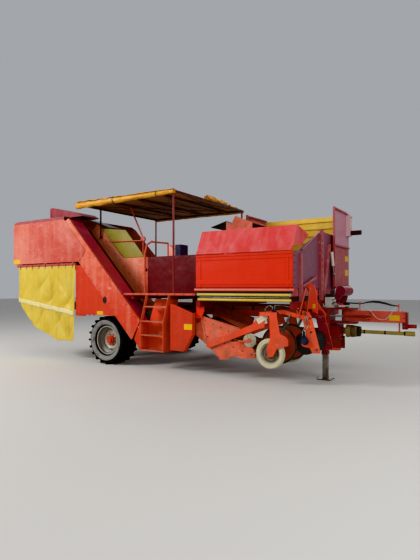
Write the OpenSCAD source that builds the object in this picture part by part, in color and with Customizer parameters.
// Trailed single-row potato harvester with side-mounted digging unit,
// picking platform, roofed stand and four-tonne bunker.
// X points forward, Y to the machine's left, Z up; Z = 0 is the ground.

/* [Overall] */
// Half of the overall width
half_w = 1500; // [1450:10:1550]
// Rear face of the hood, behind the origin
rear_x = 4470; // [4300:10:4700]

/* [Wheels] */
// Distance of the axle behind the origin
wheel_x = 1350; // [1280:10:1400]
// Tyre radius over the lugs
tyre_r = 510; // [490:1:535]
// Tyre section width
tyre_w = 500; // [450:10:540]
// Tyre bead radius, the seat on the rim
bead_r = 286; // [275:1:300]
// Height of the tread lugs
lug_h = 30; // [15:1:45]
// Gap between tyre and the machine's widest line
tyre_inset = 30; // [25:1:60]

/* [Frame] */
// Top of the frame rails
rail_top = 1260; // [1220:5:1290]
// Height of the frame rails
rail_h = 180; // [120:5:220]
// Width of the frame rails
rail_w = 120; // [80:5:140]
// Outer face of the right rail
rail_out_r = 640; // [600:5:650]
// Outer face of the left rail
rail_out_l = 880; // [800:5:950]
// Wall of panels and sheets
sheet = 6; // [4:1:10]

/* [Rear hood] */
// Top ridge of the hood
hood_top = 3240; // [3100:10:3400]
// Lower edge of the hood
hood_low = 2190; // [2100:10:2300]
// Bevel along the hood's top edge
hood_bevel = 80; // [40:5:120]
// Left face of the hood
hood_left = 900; // [850:10:1000]

/* [Elevator] */
// Height of the elevator's side walls, square to the slope
wall_h = 438; // [400:1:460]
// Depth of the web below the right wall's top edge
web_d = 262; // [245:1:275]
// Radius of the web loop over its end rollers
web_r = 52; // [45:1:60]
// Gap between the right rail and the elevator's left wall
elev_gap = 60; // [50:2:72]

/* [Bunker] */
// Rear wall of the bunker, ahead of the origin
bunk_x0 = 980; // [950:5:1020]
// Front wall of the bunker
bunk_x1 = 2850; // [2700:10:2860]
// Lower edge of the bunker walls
bunk_z0 = 1600; // [1585:5:1640]
// Height of the flap's hinge tube
flap_z = 2230; // [2150:10:2300]
// Top of the bunker's front post
post_top = 2660; // [2500:10:2800]
// Radius of the tubes along the bunker's side
tube_r = 24; // [18:1:28]
// Top of the raised discharge section
disc_top = 3200; // [3000:10:3300]

/* [Platform and roof] */
// Floor of the picking platforms
floor_z = 1500; // [1460:10:1540]
// Half of the picking table's width
table_y = 680; // [660:2:684]
// Underside of the roof
roof_z = 3480; // [3300:10:3600]
// Rear edge of the roof, behind the origin
roof_x0 = 2260; // [2100:10:2400]
// Front edge of the roof
roof_x1 = 440; // [400:10:600]
// Left edge of the roof
roof_left = 1300; // [1200:10:1400]

/* [Digger] */
// Pivot of the digging unit, ahead of the origin
dig_x = 950; // [940:5:980]
// Height of that pivot
dig_z = 1000; // [980:5:1020]
// Gap between the machine's widest line and the digger's right plate
dig_inset = 150; // [120:5:200]
// Gap between the right rail and the digger's left plate
dig_gap = 20; // [15:1:40]
// Radius of the disc coulters
coulter_r = 325; // [280:5:340]
// Radius of the infeed wheels
infeed_r = 255; // [230:5:260]
// Radius of the ridge roller at its ends
ridge_r = 190; // [150:5:210]

/* [Drawbar] */
// Centre of the hitch eye, ahead of the origin
hitch_x = 4395; // [4350:5:4450]
// Swing pin of the drawbar, ahead of the origin
pin_x = 3300; // [3250:10:3350]
// Middle height of the drawbar
bar_z = 1110; // [1050:5:1150]
// Height of the drawbar beam
bar_h = 200; // [150:5:220]
// Bore of the hitch eye
eye_r = 25; // [20:1:30]
// Height of the drive shaft
shaft_z = 830; // [780:5:860]

/* [Hidden] */
$fn = 32;
red = "#c8321e";
dark_red = "#8c1c1c";
faded_red = "#d2604c";
yellow = "#e8b92a";
steel = "#8f8c86";
black = "#26262a";
gap = 0.3;

// A box between two corners, given as ranges along X, Y and Z
module box(x, y, z) {
    translate([x[0], y[0], z[0]]) cube([x[1] - x[0], y[1] - y[0], z[1] - z[0]]);
}

// An outline in X and Z, thick along Y
module side(y, points) {
    translate([0, y[1], 0]) rotate([90, 0, 0]) linear_extrude(y[1] - y[0]) polygon(points);
}

// An outline in Y and Z, thick along X
module cross(x, points) {
    translate([x[0], 0, 0]) rotate([90, 0, 90]) linear_extrude(x[1] - x[0]) polygon(points);
}

// A round bar from point p to point q
module bar(p, q, r) {
    d = q - p;
    translate(p) rotate([0, acos(d[2] / norm(d)), atan2(d[1], d[0])]) cylinder(h = norm(d), r = r);
}

// A round bar along Y
module pin_y(x, z, y, r) {
    translate([x, y[1], z]) rotate([90, 0, 0]) cylinder(h = y[1] - y[0], r = r);
}

// A round bar along X
module pin_x(x, y, z, r) {
    translate([x[0], y, z]) rotate([0, 90, 0]) cylinder(h = x[1] - x[0], r = r);
}

// Outline of an endless belt around two rollers at a and b, in X and Z
module loop_outline(a, b, r) {
    d = (b - a) / norm(b - a);
    n = [-d[1], d[0]] * r;
    translate(a) circle(r);
    translate(b) circle(r);
    polygon([a + n, b + n, b - n, a - n]);
}

// One endless belt, t thick, between y[0] and y[1]
module belt(a, b, r, t, y) {
    translate([0, y[1], 0]) rotate([90, 0, 0]) linear_extrude(y[1] - y[0])
        difference() {
            loop_outline(a, b, r);
            loop_outline(a, b, r - t);
        }
}

// A rod web: belts joined by rods at a pitch, and a roller inside at each end
module rod_web(a, b, r, y, belts, pitch) {
    t = 10;
    belt_w = 60;
    length = norm(b - a);
    d = (b - a) / length;
    n = [-d[1], d[0]] * (r - t / 2);
    for (i = [0 : belts - 1]) {
        y0 = y[0] + (y[1] - y[0] - belt_w) * i / (belts - 1);
        belt(a, b, r, t, [y0, y0 + belt_w]);
    }
    for (s = [pitch / 2 : pitch : length - pitch / 4], k = [-1, 1]) {
        c = a + d * s + n * k;
        pin_y(c[0], c[1], y, 5.5);
    }
}

// Derived places
// Front face of the frame's front member
front_x = 2880;
wheel_y = half_w - tyre_inset - tyre_w / 2;
rail_z = [rail_top - rail_h, rail_top];
bearer_h = 120;
// Top of the mudguards, above the tyres
guard_z = 2 * tyre_r + 44;
elev_in = rail_out_r + elev_gap;
dig_right = half_w - dig_inset;
dig_left = rail_out_r + dig_gap;
web_y = [-half_w + 40, -elev_in - 30];
// Right and left edge of the second web's frame
web2_y = [-half_w + 320, -rail_out_r - 80];

// The slope of the elevator: s runs up it from the foot of the right wall's top edge, d is square below it
foot = [-345, 943];
slope = [-0.692, 0.7219];
function on_slope(s, d) = [foot[0] + s * slope[0] - d * slope[1], foot[1] + s * slope[1] + d * slope[0]];

// Centres of the digging unit's rolling pieces in X and Z, and their places along Y, right and left
coulter_c = [2500, 650];
coulter_y = [-dig_right + 140, -dig_left - 50];
infeed_c = [2430, 515];
infeed_y = [-dig_right - 50, -dig_left + 100];
ridge_c = [2960, 700];
ridge_y = [dig_left + 70, dig_right - 160];
// Eyes of the steering cylinder: the rod's on the frame, the barrel's on the drawbar
rod_eye = [2935, -335, 1110];
barrel_eye = [3710, -150, 1110];
steer_dir = (rod_eye - barrel_eye) / norm(rod_eye - barrel_eye);
// Hinge of the discharge section in Y and Z
disc_hinge = [half_w - 100, 1560];
// Middles of the bars that carry the elevator's walls
elev_bars = [on_slope(700, 372), on_slope(1821, 372)];

// Frame
module main_frame() color(dark_red) {
    inner = [-rail_out_r + rail_w, rail_out_l - rail_w];
    // Rails
    box([-3700, 2760], [-rail_out_r, inner[0]], rail_z);
    box([-3700, 2760], [inner[1], rail_out_l], rail_z);
    // Cross members: place along X
    for (x = [-3700, -wheel_x - 60, -300, 700]) box([x, x + 120], [inner[0] - 1, inner[1] + 1], rail_z);
    box([2760, front_x], [-rail_out_r, rail_out_l], rail_z);
    // Shaft that the digging unit turns on, with its two hangers
    pin_y(dig_x, dig_z, [-dig_right - 35, -rail_out_r - 1], 20);
    side([-dig_right - 35, -dig_right - 23], [[920, 970], [920, rail_top + 1], [1090, rail_top + 1],
        [1090, 1180], [980, 970]]);
    side([-rail_out_r - 14, -rail_out_r + 1], [[910, 960], [900, 1120], [900, 1240], [1040, 1240],
        [1040, 1100], [990, 960]]);
    // Bars through the elevator's walls, and the post of the upper one
    for (b = elev_bars) pin_y(b[0], b[1], [-half_w + 16 + gap, -rail_out_r + 1], 22);
    box([elev_bars[1][0] - 40, elev_bars[1][0] + 40], [-rail_out_r, -rail_out_r + 70], [rail_top - 1, 2030]);
    // Carriers of the second web, the front one reaching on to the side cover
    box([-250, -190], [web2_y[0] - 9, -rail_out_r + 1], [1150, 1190]);
    box([520, 580], [-half_w + 5 + gap, -rail_out_r + 1], [1150, 1190]);
    // Bearing bracket of the long drive line, and arms of the left mudguard
    box([-260, -220], [-40, 40], [780, rail_z[0] + 1]);
    for (x = [-wheel_x - 420, -wheel_x - 160])
        box([x, x + 40], [rail_out_l - 1, half_w - 490], [guard_z, rail_z[0] + 80]);
    // Ears and pins of the discharge section's hinge, on the bearers' ends
    hy = disc_hinge[0];
    bz = rail_top + bearer_h - 1;
    for (e = [[1003, 988, 1023], [2879, 2879, 2916]]) {
        cross([e[0], e[0] + 20], [[hy - 100, bz - 79], [hy - 100, bz], [hy - 55, bz], [hy - 28, disc_hinge[1]],
            [hy + 28, disc_hinge[1]], [hy - 5, bz], [hy - 41, bz - 79]]);
        pin_x([e[0], e[0] + 20], hy, disc_hinge[1], 32);
        pin_x([e[1], e[2]], hy, disc_hinge[1], 20);
    }
    // Axle seats
    for (y = [-rail_out_r, inner[1]]) box([-wheel_x - 80, -wheel_x + 80], [y, y + rail_w - 15],
        [tyre_r + 60, rail_z[0] + 1]);
    // Bearers across the rails under bunker and platforms: x, half length right, left, height
    for (b = [[950, half_w - 60, half_w - 140], [2790, half_w - 60, half_w - 140]])
        box([b[0], b[0] + 90], [-b[1], b[2]], [rail_top - 1, rail_top + bearer_h]);
    for (x = [-660, 300])
        box([x, x + 70], [-half_w + 75, half_w - 75], [floor_z - 110, floor_z - 30]);
    for (x = [-660, 300], y = [-rail_out_r + 20, inner[1] + 20])
        box([x, x + 70], [y, y + 80], [rail_top - 1, floor_z - 109]);
    box([-2380, -2310], [700, half_w - 20], [floor_z - 110, floor_z - 30]);
    box([-2380, -2310], [inner[1] + 20, inner[1] + 100], [rail_top - 1, floor_z - 109]);
    // Rear posts and the rail ring that carries hood and curtain
    for (y = [[-rail_out_r, -rail_out_r + 80], [rail_out_l - 80, rail_out_l]])
        box([-3700, -3620], y, [rail_top - 1, 2110]);
    box([-4290, -2250], [-half_w + 10, -half_w + 60], [2110, 2170]);
    box([-4350, -4290], [-half_w + 10, hood_left - 20], [2110, 2170]);
    box([-4290, -3620], [rail_out_l - 60, rail_out_l], [2110, 2170]);
    box([-3700, -3620], [-half_w + 59, rail_out_l - 59], [2110, 2170]);
    for (x = [-4200, -3300, -2350]) {
        box([x, x + 50], [-half_w + 10, -half_w + 60], [2169, hood_low - gap]);
        box([x, x + 50], [-half_w + 1, -half_w + 11], [2171, hood_low - gap]);
    }
    for (y = [-1000, 0, 800]) {
        box([-4350, -4290], [y, y + 50], [2169, hood_low - gap]);
        box([-rear_x + 1, -4349], [y, y + 50], [2171, hood_low - gap]);
    }
    box([-3700, -3650], [rail_out_l - 40, hood_left - 1], [2169, hood_low - gap]);
}

// Head of the frame, with the clevis and pin of the drawbar
module drawbar_head() color(dark_red) {
    plate = 30;
    z = [bar_z - bar_h / 2 - plate - 12, bar_z + bar_h / 2 + plate + 12];
    box([front_x, front_x + 120], [-280, 280], z);
    for (z0 = [z[0], z[1] - plate])
        translate([0, 0, z0]) linear_extrude(plate) {
            translate([front_x + 119, -200]) square([pin_x - front_x - 119, 400]);
            translate([pin_x, 0]) circle(200);
        }
    translate([pin_x, 0, z[0] - 10]) cylinder(h = z[1] - z[0] + 30, r = 35);
    // Lugs for the eye of the steering cylinder's rod
    for (z0 = [rod_eye[2] - 36, rod_eye[2] + 21])
        box([rod_eye[0] - 35, rod_eye[0] + 30], [rod_eye[1] - 35, -279], [z0, z0 + 15]);
}

module axle_beam() color(dark_red) {
    face = wheel_y - 325;
    box([-wheel_x - 60, -wheel_x + 60], [-face, face], [tyre_r - 60, tyre_r + 60]);
    for (k = [-1, 1]) translate([-wheel_x, 0, tyre_r]) rotate([-90 * k, 0, 0]) {
        translate([0, 0, face - 1]) cylinder(h = 21, r = 95);
        translate([0, 0, face + 19]) cylinder(h = 230, r = 44.95);
    }
}

// Rear hood: a sheet shell over the head of the elevator, open below and in front
module hood_form(t) {
    x0 = -rear_x + t;
    low = t > 0 ? hood_low - 50 : hood_low;
    slant = t > 0 ? 60 : 0;
    intersection() {
        side([-half_w, hood_left], [[x0, low], [x0, hood_top], [-2690 + slant, hood_top], [-2620 + slant, 3160],
            [-1920 + slant, 2430], [-2110 + slant * 1.2, low]]);
        cross([x0, -1800], [[-half_w + t, low], [-half_w + t, hood_top - hood_bevel - t / 3],
            [-half_w + hood_bevel + t / 3, hood_top - t], [hood_left - hood_bevel - t / 3, hood_top - t],
            [hood_left - t, hood_top - hood_bevel - t / 3], [hood_left - t, low]]);
    }
}
module rear_hood() color(faded_red) difference() {
    hood_form(0);
    hood_form(sheet);
}

// Raised cover over the elevator's head pulley and its light sloping sheet
module hood_riser() color(dark_red) {
    y0 = -half_w + 260;
    y1 = -half_w + 800;
    side([y0, y0 + sheet], [[-3420, hood_top], [-3420, 3500], [-3330, 3520], [-2480, 3330], [-2330, hood_top]]);
    side([y1 - sheet, y1], [[-3420, hood_top], [-3420, 3500], [-3330, 3520], [-2480, 3330], [-2330, hood_top]]);
    box([-3420, -3420 + sheet], [y0 + sheet - 1, y1 - sheet + 1], [hood_top, 3500]);
    side([y0 + sheet - 1, y1 - sheet + 1], [[-3420, 3494], [-3330, 3514], [-2480, 3324], [-2330, hood_top],
        [-2330, hood_top + 12], [-2480, 3330], [-3330, 3520], [-3420, 3500]]);
    // Sloping sheet on its left, down to the picking stand
    side([y1 - 1, -300], [[-3240, 3425], [-3240, 3431], [-2420, 3164], [-2420, 3158]]);
    side([y1 + 14, -300], [[-2421, 3158], [-2421, 3164], [-1980, 3021], [-1980, 3015]]);
}

// Elevator: a steep rod web between two sheet walls
module elevator_wall_right() color(faded_red) {
    y0 = -half_w + 10;
    side([y0, y0 + sheet], [on_slope(3080, 0), on_slope(30, 0), on_slope(-100, wall_h - 30),
        on_slope(-80, wall_h), on_slope(3120, wall_h), on_slope(3150, 200)]);
    // Folded edge along the top
    side([y0 + sheet - 1, y0 + 46], [on_slope(3080, 0), on_slope(30, 0), on_slope(30, sheet),
        on_slope(3080, sheet)]);
    // Bearings of the two shafts
    for (s = [140, 3040]) {
        c = on_slope(s, web_d);
        pin_y(c[0], c[1], [y0 + sheet - 1, y0 + sheet + 20], 40);
    }
}
module elevator_wall_left() color(faded_red) difference() {
    y = [-elev_in, -elev_in + sheet];
    side(y, [on_slope(3000, -50), on_slope(3000, wall_h - 60), on_slope(60, wall_h - 60), on_slope(0, 250),
        on_slope(0, 60), [-930, 1640], [-930, 2290], [-1545, 2290], on_slope(1950, -50)]);
    for (b = elev_bars) pin_y(b[0], b[1], [y[0] - 1, y[1] + 1], 22 + gap);
}
module elevator_web() color(dark_red) {
    a = on_slope(140, web_d);
    b = on_slope(3040, web_d);
    rod_web(a, b, web_r, web_y, 3, 90);
    for (c = [a, b]) {
        pin_y(c[0], c[1], [web_y[0] + 2, web_y[1] - 2], web_r - 10 - gap);
        pin_y(c[0], c[1], [-half_w + 36 + gap, -elev_in - gap], 18);
    }
}

// Cross web under the hood, which carries the crop to the left
module cross_web() color(black) {
    z = 2400;
    x = [-3900, -2740];
    y = [-half_w + 120, hood_left - 140];
    translate([x[0], 0, 0]) rotate([90, 0, 90]) linear_extrude(x[1] - x[0]) difference() {
        loop_outline([y[0], z], [y[1], z], 60);
        loop_outline([y[0], z], [y[1], z], 48);
    }
    for (yr = y) pin_x([x[0] - 40, x[1] + 40], yr, z, 48 - gap);
    for (x2 = [x[0] - 40, x[1] + 20]) box([x2, x2 + 20], [y[0] - 80, y[1] + 80], [2170 + gap, z + 90]);
}

// Apron between curtain and elevator, cut away over the tyre
module side_apron() color(red) {
    y = [-half_w + 16 + gap, -half_w + 22];
    arch = tyre_r * 2 + 14;
    back = -wheel_x - tyre_r - 47;
    difference() {
        side(y, [[-2235, 1000], [-2235, 2110], [-2030, 2110], [-1250, 1297], [-1020, 1060], [-1050, 1000]]);
        side([y[0] - 1, y[1] + 1], [[back - 30, 900], [back - 30, 1000], [back, arch], [-900, arch],
            [-900, 900]]);
    }
}

// Curtain below the hood's right edge, with the outline of its hang
module rear_curtain() color(yellow) {
    y0 = -half_w;
    side([y0, y0 + 10 - gap], [[-4290, 2170], [-2240, 2170], [-2300, 440], [-2830, 430], [-3690, 710],
        [-4180, 1200], [-4290, 1340]]);
}
module elevator_sheet() color("#a89a3a") {
    side([-elev_in + sheet + gap, -elev_in + sheet + 6], [[-2306, 3019], [-1509, 2931], [-930, 2292],
        [-1540, 2292]]);
}

module second_web() color(black) {
    a = [780, 800];
    b = [-500, 900];
    rod_web(a, b, 50, [web2_y[0] + 10, web2_y[1] - 10], 2, 90);
    for (c = [a, b]) pin_y(c[0], c[1], [web2_y[0] + 12, web2_y[1] - 12], 40 - gap);
    for (c = [a, b]) pin_y(c[0], c[1], [web2_y[0] - 1, web2_y[1] + 1], 16);
    for (y = [web2_y[0] - 8, web2_y[1]])
        side([y, y + 8], [[820, 740], [820, 1010], [590, 1150], [-330, 1150], [-540, 1110], [-560, 830]]);
}

// Picking table in the middle: a long belt between two board walls
module picking_table() color(dark_red) {
    for (k = [-1, 1]) {
        side(k < 0 ? [-table_y - sheet, -table_y] : [table_y, table_y + sheet], [[-2700, 2040],
            [-2700, 2330], [-850, 2290], [960, 2290],
            [960, floor_z], [-860, floor_z], [-860, 2040]]);
    }
    for (x = [-2600, -1500, -300, 800]) box([x, x + 60], [-table_y - 1, table_y + 1], [1990, 2046]);
    for (x = [-300, 800], y = [-table_y + 20, table_y - 60]) box([x, x + 60], [y, y + 40],
        [floor_z - 30, 1991]);
    // Open hopper for stones and clods, on the right wall
    difference() {
        box([-265, 40], [-table_y - sheet, -table_y + 260], [2289, 2520]);
        box([-259, 34], [-table_y, -table_y + 254], [2280, 2521]);
    }
}
module picking_belt() color(black) {
    belt([-2620, 2110], [880, 2110], 60, 10, [-table_y + 20, table_y - 20]);
    for (x = [-2620, 880]) pin_y(x, 2110, [-table_y + gap, table_y - gap], 50 - gap);
}

module platforms() color(dark_red) {
    // Rear end, front end, right edge and left edge of each floor
    for (p = [[-800, 955, -half_w + 10, -table_y - 10], [-2390, 955, table_y + 10, half_w - 10]]) {
        box([p[0], p[1]], [p[2], p[3]], [floor_z - 30, floor_z - 20]);
        for (y = [p[2], p[3] - 8]) box([p[0], p[1]], [y, y + 8], [floor_z - 21, floor_z + 10]);
    }
}

// Ladder: x of its rear rail at top, bend and foot, set on either side
module ladder_rails(t, depth) {
    for (x = [[-205, -353], [348, 215]])
        side([0, depth], [[x[0], floor_z - 30], [x[0] + t, floor_z - 30], [x[1] + t, 935], [x[1] + t, 372],
            [x[1], 372], [x[1], 935]]);
}
module ladder_one() {
    ladder_rails(12, 70);
    // Treads: height and shift along X with the slope
    for (s = [[1230, 72], [943, 2], [670, 0], [376, 0]])
        box([-345 + s[1] + 4, 219 + s[1]], [0, 170], [s[0], s[0] + 25]);
}
module ladders() color(red) {
    translate([0, -half_w + 2, 0]) ladder_one();
    mirror([0, 1, 0]) translate([0, -half_w + 2, 0]) ladder_one();
}
module step_boxes() color(red) for (k = [1, -1]) mirror([0, k < 0 ? 1 : 0, 0]) {
    // Back and side plates behind the treads
    y1 = -half_w + 300;
    side([y1, y1 + sheet], [[-205, 1390], [365, 1390], [240, 930], [240, 372], [-360, 372], [-360, 930]]);
    side([-half_w + 2, y1 + 1], [[360, 1390], [366, 1390], [241, 930], [241, 372], [235, 372], [235, 930]]);
    if (k > 0) side([-half_w + 2, -half_w + 8], [[-353, 937], [-353, 372], [-511, 590]]);
    if (k > 0) box([-359, -353.3], [-half_w + 2, y1 + 1], [372, 930]);
}

module handrails() color(faded_red) {
    for (k = [1, -1]) mirror([0, k < 0 ? 1 : 0, 0]) {
        y = -half_w + 70;
        y1 = -table_y - 3;
        bar([-290, y, floor_z - 20], [-290, y, 2300], 17);
        bar([-290, y, 2285], [-290, y + 60, 2480], 17);
        bar([-290, y + 60, 2470], [-290, y + 230, 2560], 17);
        bar([-290, y + 230, 2545], [-290, y1, 2560], 17);
        bar([-290, y1, 2570], [-290, y1, 2290], 17);
    }
}

module canopy_frame() color(faded_red) {
    z = roof_z - 40;
    y0 = -half_w + 110;
    cross_x = [-roof_x0, -1400, -700, 0, roof_x1 - 40];
    // Edge tubes and the cross tubes
    for (y = [y0, roof_left - 40]) box([-roof_x0, roof_x1], [y, y + 40], [z, roof_z]);
    for (x = cross_x) box([x, x + 40], [y0, roof_left], [z, roof_z]);
    // Posts: x, y, foot
    for (p = [[380, y0 + 20, floor_z - 20], [420, roof_left - 20, floor_z - 20],
        [-2240, roof_left - 20, floor_z - 20],
        [-2240, -elev_in - 40, 2760]])
        bar([p[0], p[1], p[2]], [p[0], p[1], z + 20], 20);
    box([-2260, -2220], [-elev_in - 40, -elev_in - gap], [2780, 2830]);
    // Cranked strut in the middle, with its round bracket and the rail that runs back from it
    ys = -table_y + 16;
    bar([-1380, ys, z + 10], [-1000, ys, 2714], 16);
    bar([-1000, ys, 2724], [-1000, ys, 2240], 16);
    box([-1040, -960], [-table_y + gap, -table_y + 30], [2230, 2280]);
    pin_y(-1000, 2690, [-table_y - 2, -table_y + 36], 60);
    bar([-1900, ys, 2660], [-1000, ys, 2660], 13);
    // Crossed braces under the roof
    for (i = [0 : 3], k = [0, 1])
        bar([cross_x[i + k] + 20, y0 + 20, z + 12 + 5 * k],
            [cross_x[i + 1 - k] + 20, roof_left - 20, z + 12 + 5 * k], 9);
}
module canopy_roof() color("#6e5140") {
    n = 32;
    w = (roof_x1 + roof_x0) / n;
    translate([-roof_x0, roof_left, roof_z]) rotate([90, 0, 0]) linear_extrude(roof_left + half_w - 110)
        polygon(concat([for (i = [0 : n]) [i * w, i % 2 == 0 ? 4 : 16]],
            [for (i = [n : -1 : 0]) [i * w, i % 2 == 0 ? 0 : 12]]));
}
module canopy_tarp() color(yellow) {
    // Rolled along the right edge and bunched at the left front corner
    pin_x([-roof_x0 - 10, roof_x1], -half_w + 55, roof_z - 10, 55 - gap);
    translate([-100, 1100, roof_z + 16]) linear_extrude(90) circle(140);
}

module side_cover() color(red) {
    outline = [[403, 438], [403, 1307], [490, 1300], [914, 1152], [903, 749], [713, 429]];
    y0 = -half_w;
    side([y0, y0 + 5], outline);
    // Folded rim
    box([403, 409], [y0 + 4, y0 + 100], [438, 1307]);
    side([y0 + 4, y0 + 100], [[409, 438], [713, 435], [711, 441], [409, 444]]);
    side([y0 + 4, y0 + 100], [[713, 429], [903, 749], [914, 1152], [908, 1152], [897, 749], [709, 433]]);
}

// Bunker: three fixed walls; the left side is the discharge section
module bunker_walls() color(red) {
    y0 = -half_w + 12;
    x = [bunk_x0, bunk_x1];
    wall_left = 800;
    hinge_y = -half_w + tube_r;
    box([x[0], x[1]], [y0, y0 + sheet], [bunk_z0, flap_z - tube_r - 6]);
    // Front wall, rising to the post, and the lower rear wall
    cross([x[1] - sheet, x[1]], [[y0 + 5, bunk_z0], [y0 + 5, flap_z - 38], [y0 + 198, flap_z - 20],
        [-166, post_top], [wall_left, post_top], [wall_left, bunk_z0]]);
    cross([x[0], x[0] + sheet], [[y0 + 5, bunk_z0], [y0 + 5, flap_z - 38], [y0 + 198, flap_z - 20],
        [-900, 2290], [wall_left, 2290], [wall_left, bunk_z0]]);
    // Hinge lugs and pins of the flap
    for (e = [[x[0], x[0] + sheet, x[0] + 80], [x[1] - sheet, x[1], x[1] - 80]]) {
        cross([e[0], e[1]], [[y0 + 5, flap_z - 60], [y0 + 5, flap_z + 22], [y0 + 30, flap_z + 22],
            [y0 + 60, flap_z - 30]]);
        pin_x([min(e[0], e[2]), max(e[1], e[2])], hinge_y, flap_z, 11.95);
    }
    // Lower tube and the upright strips
    pin_x([x[0] - 30, x[1] + 20], -half_w + tube_r, bunk_z0 - tube_r + 2, tube_r);
    for (xp = [x[0] + 60, x[1] - 110]) box([xp, xp + 50], [y0 - 8, y0 + 1], [bunk_z0, flap_z - 90]);
}
module bunker_floor() color(yellow) {
    z = [rail_top + bearer_h, 1545];
    y = [-half_w + 15, half_w - 160];
    for (zb = [z[0], z[1] - 45]) box([bunk_x0 + 30, bunk_x1 - 30], [y[0], y[0] + 45], [zb, zb + 45]);
    box([bunk_x0 + 30, bunk_x1 - 30], [y[0] + 20, y[1]], [z[0], z[1] - 40]);
}
module bunker_posts() color(dark_red) {
    // Front posts with their slots, and the rear pair
    difference() {
        box([bunk_x1 + gap, bunk_x1 + 50], [-230, -100], [rail_top + bearer_h, post_top + 20]);
        for (z = [1500 : 120 : 2500]) box([bunk_x1 - 1, bunk_x1 + 60], [-180, -150], [z, z + 60]);
    }
    box([bunk_x1 + gap, bunk_x1 + 40], [-half_w + 300, -half_w + 370], [rail_top + bearer_h, 2180]);
    // Leaning post
    cross([bunk_x1 + gap, bunk_x1 + 40], [[-90, rail_top + bearer_h], [10, rail_top + bearer_h],
        [380, 2450], [220, 2450]]);
    // Brace to the slotted post, and the cylinder across the front wall, each on its foot
    for (c = [[-half_w + 380, 2250, -225, 2655, 12], [-half_w + 390, 1630, -490, 1790, 28]]) {
        x = bunk_x1 + 33 + gap;
        bar([x, c[0], c[1]], [x, c[2], c[3]], c[4]);
        pin_x([bunk_x1 + gap, x], c[0], c[1], c[4] - 2);
    }
    pin_x([bunk_x1 + gap, bunk_x1 + 33], -490, 1790, 22);
    for (y = [-half_w + 300, -230, 330]) box([bunk_x0 - 22, bunk_x0 - gap], [y, y + 60],
        [rail_top + bearer_h, 2250]);
}
module fill_chute() color(faded_red) {
    // Trough from the picking table up over the bunker's rear wall
    for (y = [-380, 374])
        side([y, y + sheet], [[965, 2290], [965, 2960], [1080, 2900], [1180, 3060], [1560, 2900],
            [1560, 2700], [1240, 2670], [1100, 2290]]);
    side([-375, 375], [[965, 2290], [965, 2296], [1096, 2300], [1236, 2680], [1242, 2676], [1100, 2290]]);
}
module fill_rubber() color(black) {
    side([-374 + gap, 374 - gap], [[600, 2860], [600, 2872], [960, 2972], [1070, 2912], [1550, 2892],
        [1550, 2880], [1070, 2898], [960, 2956]]);
}

// Curved bracket, struts and oil tank at the machine's front
module front_bracket() color(red) {
    z0 = rail_top;
    // Curved plate in front of the front bearer
    side([-1020, -980], [[front_x, z0 + 2], [front_x, z0 + 110], [2965, z0 + 140], [2952, 1540],
        [2922, 1600], [2918, 1660], [2965, 1690], [3045, 1650], [3085, 1500], [3100, 1170], [3000, z0]]);
    // Anchor plate with the two struts and their foot
    side([-640, -600], [[front_x, 1100], [front_x, z0 + 100], [2960, z0 + 100], [3120, 1150],
        [3100, 1085], [2960, 1060]]);
    for (x = [[3000, 3140], [3075, 3215]]) bar([x[0], -600, 1110], [x[1], -600, 570], 20);
    box([3110, 3340], [-640, -580], [545, 580]);
    // Oil tank on two carriers
    pin_y(3065, 1550, [380, 940], 95);
    for (y = [400, 860]) side([y, y + 50], [[front_x, z0 + 2], [front_x, z0 + 80], [3040, 1540],
        [3090, 1540], [3010, z0 + 2]]);
}
module gearbox() color(dark_red) {
    box([2990, 3200], [-130, 130], [720, 940]);
    pin_x([3199, 3238], 0, shaft_z, 70);
    box([3000, 3100], [-60, 60], [939, 968]);
    pin_x([-220, 2991], 0, shaft_z, 30);
}
module jack_tube() color(dark_red) {
    difference() {
        box([3000, 3110], [-520, -410], [440, 1240]);
        box([3012, 3098], [-508, -422], [400, 1260]);
    }
    box([2880, 3001], [-520, -410], [1100, 1240]);
}
module jack_leg() color(steel) {
    box([3012 + gap, 3098 - gap], [-508 + gap, -422 - gap], [20, 900]);
    box([2935, 3175], [-585, -345], [0, 20]);
}
module valve_block() color("#c9c9c2") {
    z = bar_z + bar_h / 2 + 42;
    box([2900, 3080], [-160, 120], [z, z + 38]);
    box([2930, 3050], [-120, 80], [z + 38, z + 188]);
    pin_x([3049, 3110], -60, z + 118, 24);
}
module mudguards() color(black) for (k = [1, -1]) mirror([0, k < 0 ? 1 : 0, 0])
    box([-wheel_x - 500, -wheel_x - 120], [-half_w + 22 + gap, -half_w + 510], [guard_z - 12, guard_z - gap]);
module rear_lamps() color("#b02018") for (y = [-1300, 700]) box([-4349, -4300], [y, y + 180], [2060, 2110]);

// Folding flap on the bunker's right side
module bunker_flap() color(red) {
    y0 = -half_w + tube_r;
    x = [bunk_x0 + sheet + 6, bunk_x1 - sheet - 6];
    top = [-half_w + 200, 2650];
    difference() {
        pin_x(x, y0, flap_z, tube_r);
        pin_x([x[0] - 1, x[1] + 1], y0, flap_z, 12.05);
    }
    cross(x, [[y0 - 8, flap_z + 20], [top[0], top[1]], [top[0] + 6, top[1]], [y0 - 2, flap_z + 20]]);
    // The part that reaches over the front wall, and its cheek outside that wall
    cross([x[1] - 1, bunk_x1 + 12], [[y0 + 10, flap_z + 60], [top[0], top[1]], [top[0] + 6, top[1]],
        [y0 + 16, flap_z + 60]]);
    cross([bunk_x1 + 6, bunk_x1 + 12], [[y0 + 10, flap_z + 60], [top[0], top[1]], [y0 + 696, 2530],
        [y0 + 376, 2330]]);
}

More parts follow.
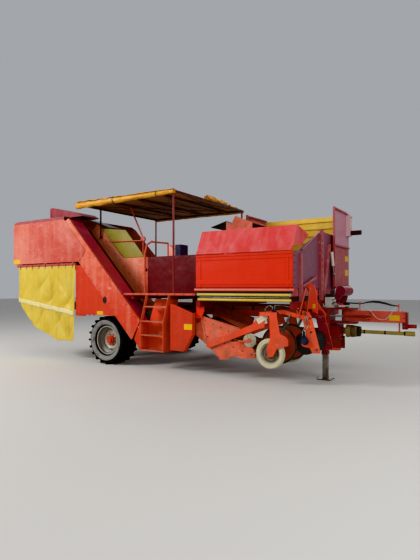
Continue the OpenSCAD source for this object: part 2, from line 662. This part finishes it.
// Discharge section, raised: floor upright on the left, cheeks reaching in past the bunker's ends
module discharge_walls() color(dark_red) {
    y = [420, half_w];
    z0 = disc_hinge[1];
    plates = [[bunk_x1 + 55, bunk_x1 + 61], [bunk_x0 + 11, bunk_x0 + 17]];
    for (x = plates) difference() {
        cross(x, [[y[0], z0 + 60], [y[0], disc_top], [y[1] - 40, disc_top], [y[1], disc_top - 60],
            [y[1], z0 - 60], [disc_hinge[0] - 30, z0 - 60], [disc_hinge[0] - 100, z0 + 60]]);
        pin_x([x[0] - 1, x[1] + 1], disc_hinge[0], disc_hinge[1], 20.05);
    }
    // Stiffeners: across at three heights and along the inner edge
    for (x = [bunk_x1 + 60, bunk_x0 + 16]) {
        y1 = x > 2000 ? y[1] - 40 : disc_hinge[0] - gap;
        for (z = [z0 + 70, 2440, disc_top - 40]) box([x, x + 35], [y[0], y1], [z, z + 30]);
        box([x, x + 35], [y[0], y[0] + 30], [z0 + 70, disc_top]);
    }
    // Drive of the discharge web: its guard, open below, and its motor, on the front cheek
    x = bunk_x1 + 60;
    difference() {
        box([x, x + 91], [y[1] - 210, y[1] - 80], [2700, disc_top - 60]);
        box([x + 2, x + 85], [y[1] - 204, y[1] - 86], [2699, disc_top - 66]);
    }
    pin_x([x + 90, x + 301], y[1] - 150, 2770, 50);
}
module discharge_floor() color(yellow) {
    x = [bunk_x0 + 17 + gap, bunk_x1 + 55 - gap];
    box(x, [half_w - 100, half_w - 60], [1600, disc_top - 45]);
    for (z = [1700 : 150 : 3100]) box([x[0] + 40, x[1] - 40], [half_w - 130, half_w - 99], [z, z + 30]);
}

// Wheels
lugs = 20;
module tyre() color(black) {
    h = tyre_w / 2;
    r = tyre_r - lug_h;
    half = [[bead_r + gap, 0.71], [bead_r + 18 + gap, 0.71], [bead_r + 30, 0.84], [bead_r + 70, 0.95],
        [bead_r + 120, 1], [r - 45, 0.97], [r - 6, 0.84], [r, 0.7]];
    rotate([90, 0, 0]) rotate_extrude($fn = 96)
        polygon(concat([for (q = half) [q[0], -h * q[1]]],
            [for (i = [len(half) - 1 : -1 : 0]) [half[i][0], h * half[i][1]]]));
    // Lugs: slanted bars from the middle to the shoulder, half a pitch apart on the two sides
    top = sqrt(tyre_r * tyre_r - 72 * 72);
    for (i = [0 : lugs - 1], k = [-1, 1])
        rotate([0, (i + k / 4) * 360 / lugs, 0]) translate([0, 0, r - 42]) linear_extrude(top - r + 42)
            polygon([[-58, k * 8], [-18, k * 8], [40, k * 150], [46, k * h * 0.95], [4, k * h * 0.95],
                [-6, k * 158]]);
}
module rim() color("#d8d3c4") rotate([90, 0, 0]) {
    h = tyre_w / 2;
    // Well-based rim: outer line from the inner flange, then the stepped inner line back, wall of 9
    outer = [[bead_r + 18, -0.76], [bead_r + 18, -0.72], [bead_r, -0.72], [bead_r, -0.4],
        [bead_r - 50, -0.3], [bead_r - 50, 0.3],
        [bead_r, 0.42], [bead_r, 0.72], [bead_r + 18, 0.72], [bead_r + 18, 0.76]];
    inner = [[bead_r - 9, 0.76], [bead_r - 9, 0.48], [bead_r - 30, 0.44], [bead_r - 34, 0.38],
        [bead_r - 59, 0.34], [bead_r - 59, -0.33], [bead_r - 9, -0.44], [bead_r - 9, -0.76]];
    rotate_extrude($fn = 72) polygon([for (q = concat(outer, inner)) [q[0], h * q[1]]]);
    // Dished disc with its round holes
    difference() {
        rotate_extrude($fn = 72) polygon([[85.3, 40], [150, 40], [bead_r - 102, 55], [bead_r - 58, 30],
            [bead_r - 58, 44], [bead_r - 100, 69],
            [146, 54], [85.3, 54]]);
        for (i = [0 : 7]) rotate(i * 45) translate([bead_r - 78, 0, 20]) cylinder(h = 70, r = 14);
    }
}
module hub() color(red) rotate([90, 0, 0]) {
    difference() {
        union() {
            translate([0, 0, -130]) cylinder(h = 240, r = 85);
            translate([0, 0, 20]) cylinder(h = 20, r = 140);
            translate([0, 0, 109]) cylinder(h = 30, r = 55);
        }
        translate([0, 0, -131]) cylinder(h = 230, r = 45);
    }
    // Wheel bolts, through the disc
    for (i = [0 : 7]) rotate(i * 45 + 22.5) translate([113, 0, 54 + gap]) cylinder(h = 22, r = 14, $fn = 6);
}
module on_axle(k) translate([-wheel_x, k * wheel_y, tyre_r]) rotate([0, 0, k > 0 ? 180 : 0]) children();
module tyre_right() on_axle(-1) tyre();
module tyre_left() on_axle(1) tyre();
module rim_right() on_axle(-1) rim();
module rim_left() on_axle(1) rim();
module hub_right() on_axle(-1) hub();
module hub_left() on_axle(1) hub();

// Drawbar
module drawbar_beam() color(red) {
    z = [bar_z - bar_h / 2, bar_z + bar_h / 2];
    difference() {
        union() {
            translate([0, 0, z[0]]) linear_extrude(bar_h) {
                translate([pin_x, 0]) circle(90);
                translate([pin_x, -75]) square([hitch_x - 145 - pin_x, 150]);
            }
            for (z2 = [bar_z - 37, bar_z + 22]) box([3680, 3760], [-185, -74], [z2, z2 + 15]);
            translate([barrel_eye[0], barrel_eye[1], bar_z - 36]) cylinder(h = 72, r = 11.95);
        }
        translate([pin_x, 0, z[0] - 1]) cylinder(h = bar_h + 2, r = 35.05);
    }
    for (y = [-75, 65]) box([hitch_x - 215, hitch_x - 95], [y, y + 10], [z[0] + 10, z[1] - 10]);
    // Hook that holds the drive shaft
    box([4190, 4200], [-45, 45], [shaft_z + 32 + gap, z[0] + 1]);
    // Hose plates at both ends of the laid hoses
    bar([3530, 0, z[1] - 5], [3530, 0, z[1] + 110], 8);
    box([3525, 3535], [-60, 60], [z[1] + 90, z[1] + 150]);
    bar([4185, 0, z[1] - 5], [4185, 0, z[1] + 70], 8);
    box([4180, 4190], [-60, 60], [z[1] + 60, z[1] + 120]);
}
module hitch_eye() color(dark_red) difference() {
    union() {
        box([hitch_x - 145 + gap, hitch_x - 65], [-65 + gap, 65 - gap], [905, 1195]);
        box([hitch_x - 95, hitch_x], [-50, 50], [930, 990]);
        translate([hitch_x, 0, 930]) cylinder(h = 60, r = 75);
    }
    translate([hitch_x, 0, 900]) cylinder(h = 200, r = eye_r);
}
module drive_shaft() color("#3a3a30") difference() {
    union() {
        pin_x([3262, 3540], 0, shaft_z, 60);
        translate([3300, 0, shaft_z]) rotate([0, 90, 0]) cylinder(h = 241, r1 = 115, r2 = 90);
        pin_x([3539, hitch_x - 65], 0, shaft_z, 32);
        pin_x([hitch_x - 95, hitch_x + 45], 0, shaft_z, 40);
    }
    pin_x([hitch_x - 35, hitch_x + 46], 0, shaft_z, 17.5);
}
module steer_barrel() color(dark_red) {
    difference() {
        union() {
            bar(barrel_eye + steer_dir * 20, barrel_eye + steer_dir * 70, 16);
            bar(barrel_eye + steer_dir * 60, barrel_eye + steer_dir * 420, 28);
            translate([barrel_eye[0], barrel_eye[1], barrel_eye[2] - 17]) cylinder(h = 34, r = 32);
        }
        translate([barrel_eye[0], barrel_eye[1], barrel_eye[2] - 40]) cylinder(h = 80, r = 12.05);
        bar(barrel_eye + steer_dir * 80, barrel_eye + steer_dir * 421, 15.05);
    }
}
module steer_rod() color(steel) {
    bar(rod_eye, barrel_eye + steer_dir * 250, 15);
    translate([rod_eye[0], rod_eye[1], rod_eye[2] - 14]) cylinder(h = 28, r = 26);
}

// Digging unit
module digger_frame() color(red) {
    outline = [[885, 735], [885, 1090], [905, 1125], [1840, 905], [1640, 690], [1640, 390], [1360, 370],
        [1150, 550]];
    difference() {
        for (y = [-dig_right, -dig_left - 8]) side([y, y + 8], outline);
        pin_y(dig_x, dig_z, [-dig_right - 1, -dig_left + 1], 20.05);
    }
    // Rib and folded edge on the outer plate
    side([-dig_right - 14, -dig_right + 1], [[985, 1095], [1020, 1087], [1125, 660], [1092, 660]]);
    side([-dig_right - 14, -dig_right + 1], [[905, 1119], [905, 1125], [1840, 905], [1834, 899]]);
    for (c = [[1300, 856, 22], [1500, 440, 22]]) pin_y(c[0], c[1], [-dig_right + 1, -dig_left - 1], c[2]);
    // Share with the cheeks, feet and bar that carry it
    for (y = [-dig_right, -dig_left - 8]) {
        side([y, y + 8], [[1639, 660], [2010, 690], [2110, 500], [2130, 400], [1900, 380], [1639, 400]]);
        side([y - 6, y + 14], [[1380, 372], [1620, 392], [1600, 340], [1400, 325]]);
    }
    pin_y(2090, 440, [-dig_right + 1, -dig_left - 1], 24);
    side([coulter_y[0] + 14, coulter_y[1] - 14], [[2070, 440], [2100, 462], [2420, 350], [2410, 340]]);
}
module digging_web() color(black) {
    a = [dig_x, dig_z];
    b = [2018, 566];
    rod_web(a, b, 46, [-dig_right + 20, -dig_left - 20], 2, 70);
    y = [-dig_right + 8 + gap, -dig_left - 8 - gap];
    pin_y(b[0], b[1], y, 35.5);
    difference() {
        pin_y(a[0], a[1], y, 35.5);
        pin_y(a[0], a[1], [y[0] - 1, y[1] + 1], 22);
    }
}
// Arms of the digging unit: side arms, crossbeam and the hangers of its rolling pieces
module digger_arms() color(red) {
    y = [-dig_right - 40, -dig_right - 15 - gap];
    yl = [-dig_left + gap, -dig_left + 14];
    arm = [[1130, 545], [1170, 615], [2080, 985], [2240, 1180], [2330, 1205], [2335, 1130], [2310, 950],
        [2150, 900], [1190, 525]];
    for (v = [[y[0], y[0] + 8], [yl[0], yl[1]]]) side(v, arm);
    // Upper and lower flange of the outer arm, and its seats on the plate
    side(y, [[1170, 615], [2080, 985], [2240, 1180], [2247, 1174], [2084, 978], [1173, 608]]);
    side(y, [[1190, 525], [2150, 900], [2310, 950], [2312, 942], [2153, 893], [1193, 518]]);
    for (c = [[1190, 575], [1590, 735]]) pin_y(c[0], c[1], [y[0] + 7, -dig_right - gap], 26);
    box([2255, 2325], [infeed_y[0] - 66, yl[1]], [1145, 1205]);
    // Forked hangers of the disc coulters, with axles
    for (k = [0, 1]) {
        h = k == 0 ? coulter_y[0] - 52 : coulter_y[1] + 40;
        side([h, h + 12], [[2262, 1150], [2318, 1150], [2470, 760], [2560, 690], [2560, 610], [2480, 590],
            [2430, 650]]);
        pin_y(coulter_c[0], coulter_c[1], k == 0 ? [h, coulter_y[0] + 25] : [coulter_y[1] - 25, h + 12], 19.95);
    }
    // Hooked plates of the infeed wheels: outside the right one, inside the left one
    hook = [[2440, 1146], [2570, 1146], [2625, 860], [2735, 810], [2770, 760], [2770, 670], [2570, 605],
        [2500, 470], [2400, 455], [2385, 600], [2450, 760]];
    for (v = [[infeed_y[0] - 66, infeed_y[0] - 56], yl]) side(v, hook);
    pin_y(infeed_c[0], infeed_c[1], [infeed_y[0] - 57, infeed_y[0] + 27], 19.95);
    pin_y(infeed_c[0], infeed_c[1], [yl[1] - 1, infeed_y[1] + 27], 19.95);
    box([2324, 2570], [infeed_y[0] - 66, infeed_y[0] - 46], [1146, 1206]);
    box([2324, 2570], yl, [1145, 1206]);
    // Forward bars with the broad arms and axle of the ridge roller
    for (v = [[-dig_right + 40, -dig_right + 60], [-dig_left - 28, -dig_left - 8]]) {
        side(v, [[2290, 1150], [2290, 1210], [2620, 1245], [3010, 1150], [3000, 1090], [2620, 1175]]);
        side(v, [[2950, 1235], [3060, 1215], [3100, 1150], [3250, 590], [3230, 565], [3120, 560],
            [3040, 720], [2955, 1110]]);
        side(v, [[3050, 800], [3110, 640], [2960, 660], [2925, 700], [2960, 745]]);
    }
    pin_y(ridge_c[0], ridge_c[1], [-dig_right + 59, -dig_left - 27], 19.95);
}
module coulter() color(steel) difference() {
    union() {
        rotate([90, 0, 0]) translate([0, 0, -3]) cylinder(h = 6, r = coulter_r, $fn = 96);
        rotate([90, 0, 0]) translate([0, 0, -30]) cylinder(h = 60, r = 60);
    }
    rotate([90, 0, 0]) translate([0, 0, -40]) cylinder(h = 80, r = 20);
}
module coulter_right() translate([coulter_c[0], coulter_y[0], coulter_c[1]]) coulter();
module coulter_left() translate([coulter_c[0], coulter_y[1], coulter_c[1]]) coulter();
module infeed() color("#ded8c4") rotate([90, 0, 0]) rotate_extrude($fn = 72)
    polygon([[20, -25], [20, 25], [60, 25], [60, 8], [170, 8], [180, 40], [infeed_r - 20, 45], [infeed_r, 25],
        [infeed_r, -25], [infeed_r - 20, -45], [180, -40], [170, -8], [60, -8], [60, -25]]);
module infeed_right() translate([infeed_c[0], infeed_y[0], infeed_c[1]]) infeed();
module infeed_left() translate([infeed_c[0], infeed_y[1], infeed_c[1]]) infeed();
module ridge_roller() color(black) translate([ridge_c[0], 0, ridge_c[1]]) rotate([90, 0,
    0]) rotate_extrude($fn = 64)
    let (y = ridge_y, m = (y[0] + y[1]) / 2)
        polygon([[20, y[0]], [ridge_r, y[0]], [ridge_r, y[0] + 60], [110, m - 50], [110, m + 50],
            [ridge_r, y[1] - 60], [ridge_r, y[1]], [20, y[1]]]);

// Hoses and cable, laid along points chosen by hand
function unit(v) = v / norm(v);
function heading(p, i) = unit(p[min(i + 1, len(p) - 1)] - p[max(i - 1, 0)]);
function ring(c, d, r, n) =
    let (u = unit(cross(abs(d[2]) > 0.9 ? [1, 0, 0] : [0, 0, 1], d)), v = cross(u, d))
    [for (k = [0 : n - 1]) c + r * (cos(360 * k / n) * u + sin(360 * k / n) * v)];
module cord(p, r, n) {
    m = len(p);
    polyhedron(
        points = [for (i = [0 : m - 1]) each ring(p[i], heading(p, i), r, n)],
        faces = concat(
            [[for (k = [0 : n - 1]) n - 1 - k]],
            [for (i = [0 : m - 2], k = [0 : n - 1]) [i * n + k, i * n + (k + 1) % n,
                (i + 1) * n + (k + 1) % n, (i + 1) * n + k]],
            [[for (k = [0 : n - 1]) (m - 1) * n + k]]));
}
hose_a = [[3535.3, 30, 1330], [3545, 30, 1330], [3580, 30, 1336], [3650, 30, 1358], [3760, 30, 1376],
    [3870, 30, 1368],
    [3970, 30, 1345], [4060, 30, 1316], [4130, 30, 1301], [4170, 30, 1300], [4179.7, 30, 1300]];
hose_b = [[3535.3, -30, 1330], [3545, -30, 1330], [3580, -30, 1333], [3650, -30, 1350], [3760, -30, 1360],
    [3870, -30, 1352],
    [3970, -30, 1333], [4060, -30, 1310], [4130, -30, 1301], [4170, -30, 1300], [4179.7, -30, 1300]];
cable_a = [[3535.3, -50, 1320], [3550, -50, 1319], [3600, -62, 1306], [3670, -86, 1262], [3740, -104, 1200],
    [3800, -112, 1130], [3860, -112, 1075], [3930, -110, 1056], [4000, -107, 1072], [4070, -102, 1150],
        [4120, -84, 1240], [4155, -58, 1280], [4170, -50, 1285], [4179.7, -50, 1285]];
module hose_black() color(black) cord(hose_a, 10, 8);
module hose_grey() color("#3c3c40") cord(hose_b, 10, 8);
module cable() color("#d8d8d8") cord(cable_a, 5, 8);

main_frame();
axle_beam();
rear_hood();
hood_riser();
elevator_wall_right();
elevator_wall_left();
elevator_web();
cross_web();
side_apron();
rear_curtain();
elevator_sheet();
second_web();
picking_table();
picking_belt();
platforms();
ladders();
step_boxes();
handrails();
canopy_frame();
canopy_roof();
canopy_tarp();
side_cover();
bunker_walls();
bunker_floor();
bunker_posts();
fill_chute();
fill_rubber();
drawbar_head();
front_bracket();
gearbox();
jack_tube();
valve_block();
mudguards();
rear_lamps();
jack_leg();
bunker_flap();
discharge_walls();
discharge_floor();
tyre_right();
rim_right();
hub_right();
tyre_left();
rim_left();
hub_left();
drawbar_beam();
hitch_eye();
drive_shaft();
steer_barrel();
steer_rod();
digger_frame();
digging_web();
digger_arms();
coulter_right();
coulter_left();
infeed_right();
infeed_left();
ridge_roller();
hose_black();
hose_grey();
cable();
